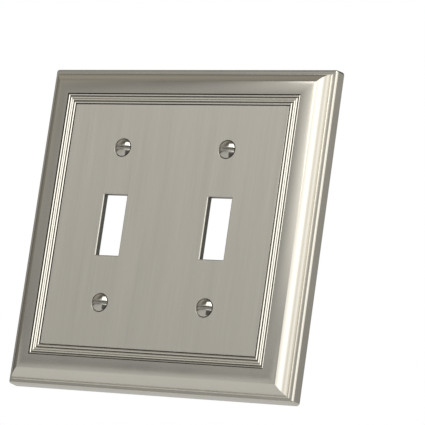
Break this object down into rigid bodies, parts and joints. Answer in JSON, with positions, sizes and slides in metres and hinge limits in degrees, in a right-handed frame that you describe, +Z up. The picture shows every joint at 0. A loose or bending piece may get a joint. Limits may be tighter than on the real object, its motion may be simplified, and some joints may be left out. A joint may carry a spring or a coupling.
{
  "type": "toggle switch wall plate",
  "caption": "Square hollow wall plate in satin nickel with a moulded border, toggle-switch openings side by side, and slotted oval-head screws that hold it over the switches.",
  "frame": {"origin": "centre of the plate's outline, on the plane of the wall that it rests against", "axes": "+X to the viewer's right, +Z up, -Y out of the wall towards the viewer, so +Y goes into the wall"},
  "size_m": [0.1256, 0.0201, 0.1256],
  "materials": {
    "plate_satin_nickel": "satin nickel, brushed up and down on the flat field and smooth on the border",
    "screw_nickel": "bright satin nickel"
  },
  "bodies": {
    "plate": {"wall_plate": "plate_satin_nickel"},
    "screw_top_left": {"screw_top_left": "screw_nickel"},
    "screw_top_right": {"screw_top_right": "screw_nickel"},
    "screw_bottom_left": {"screw_bottom_left": "screw_nickel"},
    "screw_bottom_right": {"screw_bottom_right": "screw_nickel"}
  },
  "joints": [
    {"name": "screw_top_left_turn", "type": "hinge", "parent": "plate", "child": "screw_top_left", "pos_m": [-0.02302, -0.0101, 0.03017], "axis": [0, -1, 0], "continuous": true},
    {"name": "screw_top_right_turn", "type": "hinge", "parent": "plate", "child": "screw_top_right", "pos_m": [0.02302, -0.0101, 0.03017], "axis": [0, -1, 0], "continuous": true},
    {"name": "screw_bottom_left_turn", "type": "hinge", "parent": "plate", "child": "screw_bottom_left", "pos_m": [-0.02302, -0.0101, -0.03017], "axis": [0, -1, 0], "continuous": true},
    {"name": "screw_bottom_right_turn", "type": "hinge", "parent": "plate", "child": "screw_bottom_right", "pos_m": [0.02302, -0.0101, -0.03017], "axis": [0, -1, 0], "continuous": true}
  ]
}
